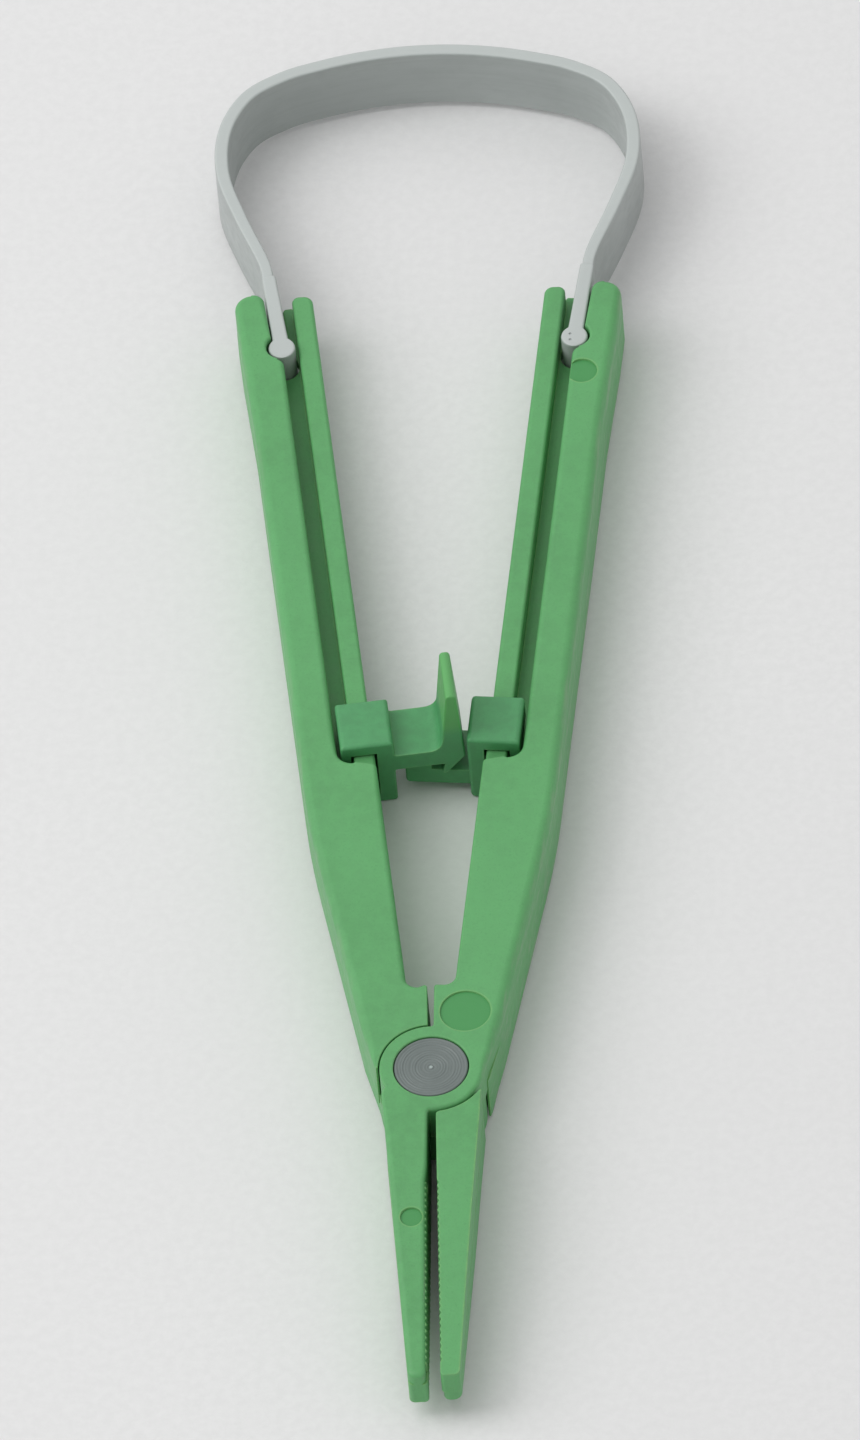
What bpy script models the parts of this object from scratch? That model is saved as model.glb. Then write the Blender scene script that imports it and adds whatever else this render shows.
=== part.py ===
"""Self-opening gripping tongs with a sliding ratchet latch, as a set of separate solids.

Two identical moulded arms cross at a lap joint, the second one turned over.  A grey two-part
stud holds the joint, a springy strap joins the handle ends, and two clips that slide on the
inner rails of the handles lock together: one carries a thumb lever with a hook, the other a
toothed plate.  Metres, +Z up, +Y from the jaws towards the strap, origin on the pivot axis in
the plane of the arms' lower faces.
"""
import math

import bpy
import bmesh

MM = 0.001

# ---- driving dimensions -------------------------------------------------------------------
THICK = 12.0 * MM             # thickness of an arm
MID = THICK / 2               # height of the plane where the two arms meet
GAP = 0.3 * MM                # clearance between pieces that touch

# handle: a wide outer beam, a groove and a narrow inner rail, seen in the arm's own axes
TILT = math.atan(0.1025)      # angle of a closed handle to the tool's centre line
RAIL_IN = 1.89 * MM           # inner side of the rail, from the line through the pivot
RAIL_OUT = 5.0 * MM           # outer side of the rail
BEAM_IN = 7.3 * MM            # inner side of the beam
BEAM_OUT = 12.85 * MM         # outer side of the beam
END_FLARE = 0.45 * MM         # extra width at the handle's end
FLARE_FROM = 122.0 * MM       # distance from the pivot where the flare starts
FLARE_TO = 139.0 * MM
HANDLE_END = 146.3 * MM       # distance from the pivot to the handle's end
GROOVE_START = 57.2 * MM      # distance from the pivot to the groove's closed end
GROOVE_DEPTH = 5.2 * MM       # on each face, which leaves a thin web between them
RAIL_RECESS = 1.85 * MM       # the rail's faces lie this far below the arm's faces

# lower part of the handle, around the pivot
ELBOW = (17.53 * MM, 46.0 * MM)
ELBOW_RADIUS = 150.0 * MM
NECK_SLOPE = 0.1992           # sideways run of the outer edge below the elbow, per unit length
NECK_X = 8.37 * MM            # where that edge would cross the line through the pivot
WINDOW_FLOOR = 15.5 * MM
SLOT_TOP = 0.63 * MM          # half the slot above the pivot, at its wide and narrow ends
SLOT_FOOT = 0.36 * MM
DISC_R = 7.2 * MM             # lap disc beside the other arm's handle
DISC_JAW_R = 7.8 * MM         # and beside the other arm's jaw
RECESS_R = 7.55 * MM          # hollow in the handle for the other arm's disc
JAW_HOLLOW_R = 8.25 * MM      # hollow in the jaw for the other arm's disc
SHOULDER = math.radians(1.2)  # where the handle ends beside the disc
JAW_SHOULDER_R = 4.2 * MM     # inner corner of the jaw's shoulder: distance and direction
JAW_SHOULDER = math.radians(211.8)
SHOULDER_Y = -4.4 * MM        # outer corner of the jaw's shoulder
END_CORNER = 3.0 * MM         # plan rounding of the handle's end, beam side and rail side
RAIL_CORNER = 1.3 * MM

# jaw
JAW_TIP = -53.5 * MM
JAW_TAPER_FROM = -26.0 * MM   # the jaw is full thickness from the pivot to here
TIP_DROP = 3.0 * MM           # how far each face closes in by the tip
JAW_OUTER_X = 7.4 * MM
JAW_OUTER_SLOPE = 0.070
JAW_GAP_ROOT = 0.60 * MM      # half the gap between the jaws
JAW_GAP_TIP = 0.92 * MM
TEETH_FROM = -51.3 * MM
JAW_TOOTH = 1.1 * MM          # pitch of the serrations
JAW_TOOTH_COUNT = 28
JAW_TOOTH_DEPTH = 0.25 * MM
TIP_CORNER = 1.3 * MM         # plan rounding of the tip, outer and inner corner
TIP_INNER_CORNER = 0.5 * MM
PAST = 2.0 * MM               # how far a cutter reaches beyond what it cuts

# pivot stud and cap
HOLE_R = 3.3 * MM
SHANK_R = 3.0 * MM
HEAD_R = 5.2 * MM
HEAD_THICK = 1.7 * MM
SINK_R = 5.5 * MM
SINK_DEPTH = 2.2 * MM
HEAD_TOP = THICK - 0.25 * MM
STUD_BORE_R = 1.7 * MM
CAP_PIN_R = 1.4 * MM
CAP_PIN_TOP = 8.0 * MM
STUD_BORE_TOP = 8.5 * MM

# strap
STRAP_THICK = 2.0 * MM
STEM_THICK = 2.3 * MM
STRAP_LOW = 0.45 * MM
STRAP_HIGH = THICK - STRAP_LOW
BEAD_R = 1.95 * MM
BEAD_AT = (135.8 * MM, 7.3 * MM)      # along and across the handle
STEM_LEAN = math.radians(7.9)         # the stem's angle to the tool's centre line
STEM_LENGTH = 13.9 * MM
SOCKET_R = 2.25 * MM
SLOT_HALF = 1.45 * MM
# the strap's centre line on the right side, from the stem to the crown
STRAP_PATH = [(22.95, 148.1), (23.9, 151.6), (27.1, 159.6), (29.65, 167.9), (29.35, 175.8),
              (26.2, 182.2), (21.0, 185.7), (15.7, 187.5), (10.5, 188.75), (5.2, 189.5)]
STRAP_CROWN = (0.0, 189.75)

# latch clips, in the rail's own axes
CLIP_AT = 63.5 * MM           # distance of a clip's middle from the pivot
CLIP_LENGTH = 8.5 * MM
CLIP_LOW = -0.45 * MM
CLIP_HIGH = THICK + 0.45 * MM
CLIP_PLATE = 2.0 * MM
CLIP_WALL_IN = -0.85 * MM     # face of the clip's wall towards the other handle
CLIP_WALL_OUT = RAIL_IN - GAP
LIP_IN = RAIL_OUT + GAP
LIP_OUT = 6.75 * MM
LIP_DROP = 2.3 * MM
RACK_LOW = 1.3 * MM
RACK_TOP = 4.4 * MM           # flat of the plate that the hook rests over
RACK_SET_BACK = 1.0 * MM      # the plate stops short of the clip's front face
CATCH_FROM = 5.45 * MM        # the catch's steep side and the plate's end, from the wall
RACK_REACH = 9.3 * MM
CATCH_TOP = 5.1 * MM           # kept below the hook's tip, so that each joint turns alone
CATCH_FLAT = 0.3 * MM
CATCH_FOOT = 0.15 * MM        # height of the ramp's low end above the flat
LEVER_ROOT = 1.8 * MM         # distance of the lever's bending line from the wall
LEVER_LOW = 6.45 * MM
LEVER_THICK = 3.0 * MM
HOOK_BACK = 7.2 * MM          # root of the hook's steep side, from the wall
HOOK_TIP_FROM = 6.85 * MM
HOOK_TIP_TO = 7.3 * MM
HOOK_TIP = CATCH_TOP + 0.3 * MM
HOOK_CORNER = (10.2 * MM, 7.85 * MM)
FIN_BACK = 9.45 * MM          # the fin's two sides at its top, and its foot on the plate
FIN_FACE = 8.05 * MM
FIN_FOOT = 6.95 * MM
FIN_TOP = 21.25 * MM

ROUND = 40                    # sides of the round pieces


# ---- plane geometry -----------------------------------------------------------------------
def on_arm(along, across):
    """Point of the closed right handle, from its place along and across the handle."""
    return (across * math.cos(TILT) + along * math.sin(TILT),
            along * math.cos(TILT) - across * math.sin(TILT))


def polar(radius, angle, centre=(0.0, 0.0)):
    return (centre[0] + radius * math.cos(angle), centre[1] + radius * math.sin(angle))


def arc(radius, start, end, steps, centre=(0.0, 0.0)):
    """Points along an arc, both ends included, angles in radians."""
    return [polar(radius, start + (end - start) * i / steps, centre) for i in range(steps + 1)]


def circle(radius, centre=(0.0, 0.0), steps=ROUND):
    return arc(radius, 0.0, math.tau * (steps - 1) / steps, steps - 1, centre)


def rounded(corners, steps=6):
    """Closed outline from corners (x, y, radius): each corner with a radius becomes an arc."""
    outline = []
    for i, (x, y, radius) in enumerate(corners):
        if radius == 0.0:
            outline.append((x, y))
            continue
        before, after = corners[i - 1], corners[(i + 1) % len(corners)]
        back = (before[0] - x, before[1] - y)
        ahead = (after[0] - x, after[1] - y)
        back_len, ahead_len = math.hypot(*back), math.hypot(*ahead)
        back = (back[0] / back_len, back[1] / back_len)
        ahead = (ahead[0] / ahead_len, ahead[1] / ahead_len)
        half = math.acos(max(-1.0, min(1.0, back[0] * ahead[0] + back[1] * ahead[1]))) / 2
        reach = radius / math.tan(half)
        bisector = (back[0] + ahead[0], back[1] + ahead[1])
        length = math.hypot(*bisector)
        centre = (x + bisector[0] / length * radius / math.sin(half),
                  y + bisector[1] / length * radius / math.sin(half))
        first = (x + back[0] * reach - centre[0], y + back[1] * reach - centre[1])
        last = (x + ahead[0] * reach - centre[0], y + ahead[1] * reach - centre[1])
        start = math.atan2(first[1], first[0])
        sweep = (math.atan2(last[1], last[0]) - start + math.pi) % math.tau - math.pi
        outline += arc(radius, start, start + sweep, steps, centre)
    return outline


# ---- solids -------------------------------------------------------------------------------
def add_object(name, bm):
    """Object with the given mesh, its faces turned outwards."""
    bmesh.ops.recalc_face_normals(bm, faces=bm.faces)
    mesh = bpy.data.meshes.new(name)
    bm.to_mesh(mesh)
    bm.free()
    obj = bpy.data.objects.new(name, mesh)
    bpy.context.collection.objects.link(obj)
    return obj


def prism(name, outline, low, high):
    """Plan outline extruded upwards from low to high."""
    bm = bmesh.new()
    base = bm.faces.new([bm.verts.new((x, y, low)) for x, y in outline])
    top = bmesh.ops.extrude_face_region(bm, geom=[base])["geom"]
    bmesh.ops.translate(bm, vec=(0.0, 0.0, high - low),
                        verts=[v for v in top if isinstance(v, bmesh.types.BMVert)])
    return add_object(name, bm)


def bar(name, profile, length):
    """Profile in the XZ plane extruded along Y, centred on the origin."""
    bm = bmesh.new()
    base = bm.faces.new([bm.verts.new((x, -length / 2, z)) for x, z in profile])
    end = bmesh.ops.extrude_face_region(bm, geom=[base])["geom"]
    bmesh.ops.translate(bm, vec=(0.0, length, 0.0),
                        verts=[v for v in end if isinstance(v, bmesh.types.BMVert)])
    return add_object(name, bm)


def turned(name, profile):
    """Closed solid of revolution about +Z from (radius, height) pairs that start and end on it."""
    bm = bmesh.new()
    verts = [bm.verts.new((r, 0.0, z)) for r, z in profile]
    edges = [bm.edges.new(pair) for pair in zip(verts, verts[1:])]
    bmesh.ops.spin(bm, geom=verts + edges, cent=(0, 0, 0), axis=(0, 0, 1),
                   angle=math.tau, steps=ROUND, use_merge=True)
    bmesh.ops.remove_doubles(bm, verts=bm.verts, dist=1e-6)
    return add_object(name, bm)


def combine(target, other, operation):
    """Boolean modifier on target; the other object becomes a hidden guide."""
    modifier = target.modifiers.new(other.name, "BOOLEAN")
    modifier.operation = operation
    modifier.object = other
    modifier.solver = "EXACT"
    other.hide_render = True
    other.display_type = "WIRE"


def settled_mesh(obj, name):
    """The object's mesh with its modifiers applied, as new data."""
    bpy.context.view_layer.update()
    evaluated = obj.evaluated_get(bpy.context.evaluated_depsgraph_get())
    mesh = bpy.data.meshes.new_from_object(evaluated)
    mesh.name = name
    return mesh


def remove_guides():
    for obj in [o for o in bpy.data.objects if o.hide_render]:
        bpy.data.objects.remove(obj)


def smooth_round(obj):
    obj.data.shade_smooth()
    obj.data.set_sharp_from_angle(angle=math.radians(35))


def finish(obj, colour, roughness):
    """Give an object a plastic material of its own."""
    material = bpy.data.materials.new(obj.name)
    material.use_nodes = True
    shader = material.node_tree.nodes["Principled BSDF"]
    shader.inputs["Base Color"].default_value = (*colour, 1.0)
    shader.inputs["Roughness"].default_value = roughness
    shader.inputs["Metallic"].default_value = 0.0
    if not obj.data.materials:
        obj.data.materials.append(None)
    obj.material_slots[0].link = "OBJECT"
    obj.material_slots[0].material = material


# ---- the arm moulding ---------------------------------------------------------------------
def handle_blank():
    """Full-thickness handle from the pivot to its end, before the grooves are cut."""
    neck_foot = polar(NECK_X * math.cos(math.atan(NECK_SLOPE))
                      / math.cos(SHOULDER + math.atan(NECK_SLOPE)), SHOULDER)
    window_x = RAIL_IN / math.cos(TILT) + WINDOW_FLOOR * math.tan(TILT)
    outer = BEAM_OUT + END_FLARE
    corners = [
        (SLOT_FOOT, 0.0, 0.0),
        (*neck_foot, 0.0),
        (*ELBOW, ELBOW_RADIUS),
        (*on_arm(FLARE_FROM, BEAM_OUT), 90 * MM),
        (*on_arm(FLARE_TO, outer), 30 * MM),
        (*on_arm(HANDLE_END, outer), END_CORNER),
        (*on_arm(HANDLE_END, RAIL_IN), RAIL_CORNER),
        (window_x, WINDOW_FLOOR, 1.7 * MM),
        (SLOT_TOP, WINDOW_FLOOR, 0.4 * MM),
        (SLOT_FOOT, DISC_R, 0.0),
    ]
    return prism("handle_blank", rounded(corners), 0.0, THICK)


def groove_cutters():
    """Grooves in both faces, closed at the pivot end by a quarter circle."""
    width = BEAM_IN - RAIL_OUT
    past_end = HANDLE_END + PAST
    bend = arc(width, 0.0, -math.pi / 2, 6)
    outline = [on_arm(GROOVE_START + width + dy, RAIL_OUT + dx) for dx, dy in bend]
    outline += [on_arm(past_end, RAIL_OUT), on_arm(past_end, BEAM_IN)]
    return [prism("groove_top", outline, THICK - GROOVE_DEPTH, THICK + MM),
            prism("groove_under", outline, -MM, GROOVE_DEPTH)]


def rail_cutters():
    """Steps that bring both faces of the rail below the faces of the arm."""
    past_end = HANDLE_END + PAST
    middle = (RAIL_OUT + BEAM_IN) / 2
    outline = [on_arm(GROOVE_START - 0.6 * MM, RAIL_IN - PAST), on_arm(GROOVE_START, RAIL_OUT),
               on_arm(GROOVE_START + PAST, middle), on_arm(past_end, middle),
               on_arm(past_end, RAIL_IN - PAST)]
    return [prism("rail_top", outline, THICK - RAIL_RECESS, THICK + MM),
            prism("rail_under", outline, -MM, RAIL_RECESS)]


def socket_cutters():
    """Keyhole for the strap's end: a round socket and a slot out through the handle's end."""
    centre = on_arm(*BEAD_AT)
    run = HANDLE_END - BEAD_AT[0] + 2 * PAST
    ahead = (math.sin(STEM_LEAN), math.cos(STEM_LEAN))
    side = (ahead[1] * SLOT_HALF, -ahead[0] * SLOT_HALF)
    end = (centre[0] + ahead[0] * run, centre[1] + ahead[1] * run)
    slot = [(centre[0] + side[0], centre[1] + side[1]), (end[0] + side[0], end[1] + side[1]),
            (end[0] - side[0], end[1] - side[1]), (centre[0] - side[0], centre[1] - side[1])]
    return [prism("bead_socket", circle(SOCKET_R, centre), -MM, THICK + MM),
            prism("stem_slot", slot, -MM, THICK + MM)]


def jaw_blank():
    """Full-thickness jaw, on the other side of the centre line from its handle."""
    def outer(y):
        return -(JAW_OUTER_X + JAW_OUTER_SLOPE * y)

    def inner(y):
        share = y / JAW_TIP
        return -(JAW_GAP_ROOT + (JAW_GAP_TIP - JAW_GAP_ROOT) * share)

    corners = [(-JAW_GAP_ROOT, -3.0 * MM, 0.0), (*polar(JAW_SHOULDER_R, JAW_SHOULDER), 0.0),
               (outer(SHOULDER_Y), SHOULDER_Y, 0.0), (outer(JAW_TIP), JAW_TIP, TIP_CORNER),
               (inner(JAW_TIP), JAW_TIP, TIP_INNER_CORNER)]
    for i in range(JAW_TOOTH_COUNT):
        y = TEETH_FROM + i * JAW_TOOTH
        corners.append((inner(y), y, 0.0))
        corners.append((inner(y) - JAW_TOOTH_DEPTH, y + JAW_TOOTH * 0.5, 0.0))
    corners.append((inner(TEETH_FROM + JAW_TOOTH_COUNT * JAW_TOOTH),
                    TEETH_FROM + JAW_TOOTH_COUNT * JAW_TOOTH, 0.0))
    return prism("jaw_blank", rounded(corners, steps=4), 0.0, THICK)


def jaw_taper_cutters():
    """Wedges that thin the jaw towards its tip on both faces."""
    past_tip = JAW_TIP - PAST
    drop = TIP_DROP * (past_tip - JAW_TAPER_FROM) / (JAW_TIP - JAW_TAPER_FROM)
    middle = (JAW_TAPER_FROM + past_tip) / 2
    cutters = []
    for name, face, sign in (("taper_top", THICK, 1.0), ("taper_under", 0.0, -1.0)):
        profile = [(JAW_TAPER_FROM - middle, face), (past_tip - middle, face - sign * drop),
                   (past_tip - middle, face + sign * MM), (JAW_TAPER_FROM - middle, face + sign * MM)]
        wedge = bar(name, profile, 30 * MM)
        wedge.rotation_euler = (0.0, 0.0, math.pi / 2)
        wedge.location = (0.0, middle, 0.0)
        cutters.append(wedge)
    return cutters


def lap_disc():
    """Upper half-thickness disc that joins the handle to the jaw across the pivot."""
    wide = arc(DISC_JAW_R, math.radians(-93), math.radians(1), 20)
    narrow = arc(DISC_R, math.radians(8), math.radians(262), 50)
    return prism("lap_disc", wide + narrow, MID + GAP / 2, THICK)


def arm_mesh():
    """One arm moulding: handle on the right, upper lap disc, jaw on the left."""
    handle = handle_blank()
    for cutter in groove_cutters() + rail_cutters() + socket_cutters():
        combine(handle, cutter, "DIFFERENCE")
    under_disc = MID + GAP / 2
    combine(handle, prism("handle_hollow", circle(RECESS_R, steps=72), -MM, under_disc),
            "DIFFERENCE")
    jaw = jaw_blank()
    for cutter in jaw_taper_cutters():
        combine(jaw, cutter, "DIFFERENCE")
    combine(jaw, prism("jaw_hollow", circle(JAW_HOLLOW_R, steps=72), -MM, under_disc),
            "DIFFERENCE")
    combine(handle, lap_disc(), "UNION")
    combine(handle, jaw, "UNION")
    combine(handle, prism("pivot_hole", circle(HOLE_R), -MM, THICK + MM), "DIFFERENCE")
    combine(handle, prism("head_sink", circle(SINK_R, steps=56), THICK - SINK_DEPTH, THICK + MM),
            "DIFFERENCE")
    mesh = settled_mesh(handle, "arm_moulding")
    handle.hide_render = True
    remove_guides()
    return mesh


def make_arms(colour):
    """The right arm, and the same moulding turned over as the left arm."""
    mesh = arm_mesh()
    right = bpy.data.objects.new("right_arm", mesh)
    left = bpy.data.objects.new("left_arm", mesh)
    left.rotation_euler = (0.0, math.pi, 0.0)
    left.location = (0.0, 0.0, THICK)
    for arm in (right, left):
        bpy.context.collection.objects.link(arm)
        smooth_round(arm)
        finish(arm, colour, 0.45)


# ---- the pivot ----------------------------------------------------------------------------
def make_pivot(colour):
    """Headed stud from above and the cap whose pin presses into its bore from below."""
    flange_top = HEAD_THICK
    stud = turned("pivot_stud", [
        (0.0, STUD_BORE_TOP), (STUD_BORE_R, STUD_BORE_TOP), (STUD_BORE_R, flange_top + GAP),
        (SHANK_R, flange_top + GAP), (SHANK_R, HEAD_TOP - HEAD_THICK),
        (HEAD_R, HEAD_TOP - HEAD_THICK), (HEAD_R, HEAD_TOP), (0.0, HEAD_TOP)])
    cap = turned("pivot_cap", [
        (0.0, 0.0), (HEAD_R, 0.0), (HEAD_R, flange_top), (CAP_PIN_R, flange_top),
        (CAP_PIN_R, CAP_PIN_TOP), (0.0, CAP_PIN_TOP)])
    for piece in (stud, cap):
        smooth_round(piece)
        finish(piece, colour, 0.4)


# ---- the strap ----------------------------------------------------------------------------
def smooth_path(points, per_span=4):
    """Catmull-Rom curve through the points, ends included."""
    padded = [points[0]] + points + [points[-1]]
    path = []
    for p0, p1, p2, p3 in zip(padded, padded[1:], padded[2:], padded[3:]):
        for i in range(per_span):
            t = i / per_span
            path.append(tuple(
                0.5 * (2 * b + (c - a) * t + (2 * a - 5 * b + 4 * c - d) * t ** 2
                       + (3 * b - a - 3 * c + d) * t ** 3)
                for a, b, c, d in zip(p0, p1, p2, p3)))
    return path + [points[-1]]


def offset(path, distance):
    """The path moved sideways, to its left when the distance is positive."""
    moved = []
    for i, (x, y) in enumerate(path):
        before, after = path[max(i - 1, 0)], path[min(i + 1, len(path) - 1)]
        dx, dy = after[0] - before[0], after[1] - before[1]
        length = math.hypot(dx, dy)
        moved.append((x - dy / length * distance, y + dx / length * distance))
    return moved


def bead_end():
    """Outline of the right-hand bead and stem, from the stem's inner side to its outer side."""
    centre = on_arm(*BEAD_AT)
    half = STEM_THICK / 2
    opening = math.asin(half / BEAD_R)
    heading = math.pi / 2 - STEM_LEAN
    bead = arc(BEAD_R, heading + opening, heading + math.tau - opening, 22, centre)
    ahead = (math.sin(STEM_LEAN) * STEM_LENGTH, math.cos(STEM_LEAN) * STEM_LENGTH)
    side = (math.cos(STEM_LEAN) * half, -math.sin(STEM_LEAN) * half)
    top = (centre[0] + ahead[0], centre[1] + ahead[1])
    return ([(top[0] - side[0], top[1] - side[1])] + bead + [(top[0] + side[0], top[1] + side[1])])


def make_strap(colour):
    """Springy strap with a bead on each end, as one closed outline."""
    half_path = [(x * MM, y * MM) for x, y in STRAP_PATH]
    whole = half_path + [(STRAP_CROWN[0], STRAP_CROWN[1] * MM)]
    whole += [(-x, y) for x, y in reversed(half_path)]
    path = smooth_path(whole)
    inside = offset(path, STRAP_THICK / 2)
    outside = offset(path, -STRAP_THICK / 2)
    right_end = bead_end()
    left_end = [(-x, y) for x, y in reversed(right_end)]
    outline = right_end + outside + left_end + list(reversed(inside))
    strap = prism("loop_spring", outline, STRAP_LOW, STRAP_HIGH)
    smooth_round(strap)
    finish(strap, colour, 0.45)


# ---- the latch ----------------------------------------------------------------------------
def clip_outline(wall_face):
    """Corners of a clip's C-shaped section; wall_face lists what is on its inner face."""
    low_in, high_in = CLIP_LOW + CLIP_PLATE, CLIP_HIGH - CLIP_PLATE
    soft = 0.5 * MM
    return [
        (CLIP_WALL_IN, CLIP_LOW, soft), (LIP_OUT, CLIP_LOW, soft),
        (LIP_OUT, low_in + LIP_DROP, 0.0), (LIP_IN, low_in + LIP_DROP, 0.0),
        (LIP_IN, low_in, 0.0), (CLIP_WALL_OUT, low_in, 0.0),
        (CLIP_WALL_OUT, high_in, 0.0), (LIP_IN, high_in, 0.0),
        (LIP_IN, high_in - LIP_DROP, 0.0), (LIP_OUT, high_in - LIP_DROP, 0.0),
        (LIP_OUT, CLIP_HIGH, soft), (CLIP_WALL_IN, CLIP_HIGH, soft)] + wall_face


def rack_plate():
    """Section of the plate under the lever: a flat, then a catch that the hook drops behind."""
    flat_end = CLIP_WALL_IN - CATCH_FROM
    end = CLIP_WALL_IN - RACK_REACH
    root = CLIP_WALL_IN + MM
    return rounded([
        (root, RACK_LOW, 0.0), (root, RACK_TOP, 0.0), (flat_end, RACK_TOP, 0.0),
        (flat_end, CATCH_TOP, 0.0), (flat_end - CATCH_FLAT, CATCH_TOP, 0.0),
        (end, RACK_TOP + CATCH_FOOT, 0.3 * MM), (end, RACK_LOW, 0.5 * MM)], steps=3)


def lever_outline():
    """Section of the thumb lever, x measured from the clip's wall: plate, hook and fin."""
    plate_top = LEVER_LOW + LEVER_THICK
    root = arc(LEVER_THICK / 2, math.pi / 2, 3 * math.pi / 2, 8,
               (LEVER_ROOT, LEVER_LOW + LEVER_THICK / 2))
    rest = rounded([
        (LEVER_ROOT, plate_top, 0.0), (LEVER_ROOT, LEVER_LOW, 0.0),
        (HOOK_BACK, LEVER_LOW, 0.0), (HOOK_TIP_FROM, HOOK_TIP, 0.0), (HOOK_TIP_TO, HOOK_TIP, 0.0),
        (*HOOK_CORNER, 0.3 * MM), (FIN_BACK, FIN_TOP, 0.6 * MM),
        (FIN_FACE, FIN_TOP, 0.6 * MM), (FIN_FOOT, plate_top, 2.0 * MM)], steps=4)
    return root + rest[2:]


def place_on_rail(obj, side, across=0.0, height=0.0):
    """Put an object on a closed handle: side is 1 for the right handle and -1 for the left."""
    x, y = on_arm(CLIP_AT, across)
    obj.location = (side * x, y, height)
    obj.rotation_euler = (0.0, 0.0, -side * TILT)


def make_rack_clip(colour):
    rack = bar("rack_clip", rounded(clip_outline([]), steps=3), CLIP_LENGTH)
    plate = bar("rack_plate", rack_plate(), CLIP_LENGTH - RACK_SET_BACK)
    plate.location = (0.0, RACK_SET_BACK / 2, 0.0)
    combine(rack, plate, "UNION")
    rack.data = settled_mesh(rack, "rack_clip")
    rack.modifiers.clear()
    remove_guides()
    place_on_rail(rack, 1)
    finish(rack, colour, 0.4)


def make_pawl_clip(colour):
    profile = rounded(clip_outline([]), steps=3)
    pawl = bar("pawl_clip", [(-across, z) for across, z in profile], CLIP_LENGTH)
    place_on_rail(pawl, -1)
    finish(pawl, colour, 0.4)


def make_pawl_lever(colour):
    """Thumb lever whose origin is on the line where the moulding bends."""
    axis_height = LEVER_LOW + LEVER_THICK / 2
    profile = [(x - LEVER_ROOT, z - axis_height) for x, z in lever_outline()]
    lever = bar("pawl_lever", profile, CLIP_LENGTH)
    place_on_rail(lever, -1, CLIP_WALL_IN - LEVER_ROOT, axis_height)
    smooth_round(lever)
    finish(lever, colour, 0.4)


def main():
    for obj in list(bpy.data.objects):
        bpy.data.objects.remove(obj)
    green = (0.13, 0.40, 0.16)
    clip_green = (0.09, 0.33, 0.14)
    make_arms(green)
    make_pivot((0.19, 0.22, 0.22))
    make_strap((0.50, 0.54, 0.53))
    make_rack_clip(clip_green)
    make_pawl_clip(clip_green)
    make_pawl_lever(clip_green)


main()
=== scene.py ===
"""Looks of the self-opening gripping tongs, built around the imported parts.

Lengths are written in millimetres in the tool's own frame: origin on the pivot axis, +Y from
the jaws towards the strap, +Z up.  Places on a handle are written as (u, w): u along the
closed right handle from the pivot, w across it from the tool's centre line outwards.
"""
import math

import bmesh
import bpy
from mathutils import Matrix, Vector


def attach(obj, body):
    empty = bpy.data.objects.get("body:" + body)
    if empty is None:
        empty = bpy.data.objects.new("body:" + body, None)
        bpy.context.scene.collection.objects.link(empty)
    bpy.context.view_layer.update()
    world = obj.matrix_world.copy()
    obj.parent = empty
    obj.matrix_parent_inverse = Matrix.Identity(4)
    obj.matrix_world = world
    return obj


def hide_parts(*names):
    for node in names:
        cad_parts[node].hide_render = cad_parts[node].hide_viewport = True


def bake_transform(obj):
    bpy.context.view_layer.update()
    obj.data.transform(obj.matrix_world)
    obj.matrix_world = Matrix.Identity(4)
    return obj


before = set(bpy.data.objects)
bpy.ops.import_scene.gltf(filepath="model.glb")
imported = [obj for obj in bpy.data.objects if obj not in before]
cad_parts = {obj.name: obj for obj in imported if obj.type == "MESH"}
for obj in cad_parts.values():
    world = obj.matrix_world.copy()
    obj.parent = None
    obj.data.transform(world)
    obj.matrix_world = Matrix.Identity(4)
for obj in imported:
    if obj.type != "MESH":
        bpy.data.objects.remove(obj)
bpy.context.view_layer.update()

MM = 0.001
SHARP = 0.02                  # rounding radius that stands for a sharp edge
TUCK = 0.025                  # how far a joined part stays inside its neighbour's side
FLARE_STEPS, LATHE_STEPS, TUBE_SIDES = 4, 96, 8

# ---- dimensions, mostly those of the solids ---------------------------------------------------
THICK, MID, GAP = 12.0, 6.0, 0.3                  # arm height, its middle, gap between halves
TILT = math.atan(0.1025)                          # lean of a closed handle from the +Y axis
RAIL_IN, RAIL_OUT = 1.89, 5.0                     # sides of the inner rail, as w
BEAM_IN, BEAM_OUT, BEAM_SWELL = 7.3, 12.85, 0.45  # sides of the outer beam, swell at its end
HANDLE_END, GROOVE_START = 146.3, 57.2            # as u
RAIL_RECESS = 1.85                                # rail below the beam's faces
WEB_LOW, WEB_HIGH, WEB_END = 5.2, 6.8, 146.9      # plate that joins rail and beam
ELBOW = (17.53, 46.0)                             # bend of the outer side
NECK_X, NECK_SLOPE = 8.37, 0.1992                 # outer side from the pivot to the elbow
WINDOW_FLOOR, SLOT_TOP, SLOT_FOOT = 14.9, 0.50, 0.42    # opening and slot above the pivot
DISC_R, DISC_JAW_R, RECESS_R, JAW_HOLLOW_R = 7.36, 7.8, 7.52, 8.15      # lap joint
JAW_TIP, TAPER_FROM, TIP_DROP = -53.5, -26.0, 3.0       # jaw thins by TIP_DROP from each face
JAW_OUTER_X, JAW_OUTER_SLOPE = 7.4, 0.070
JAW_GAP_ROOT, JAW_GAP_TIP = 0.60, 0.92            # jaw's inner side from the centre line
TEETH_FROM, TOOTH, TOOTH_COUNT, TOOTH_DEPTH = -51.3, 1.1, 28, 0.25
TEETH_END = TEETH_FROM + TOOTH_COUNT * TOOTH
TOOTH_SHAPE = ((0.0, 0.0), (0.16, 0.4), (0.5, 1.0), (0.84, 0.4))      # (share of length, of depth)
BEAD_U, BEAD_W, BEAD_R = 135.8, 7.3, 1.95         # bead at the strap's end
SOCKET_R, SLOT_HALF = 2.25, 1.3                   # socket for the bead and slot for its stem
STRAP_LOW, STRAP_HIGH = 0.45, 11.55
STEM_LEAN = math.radians(7.9)
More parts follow.
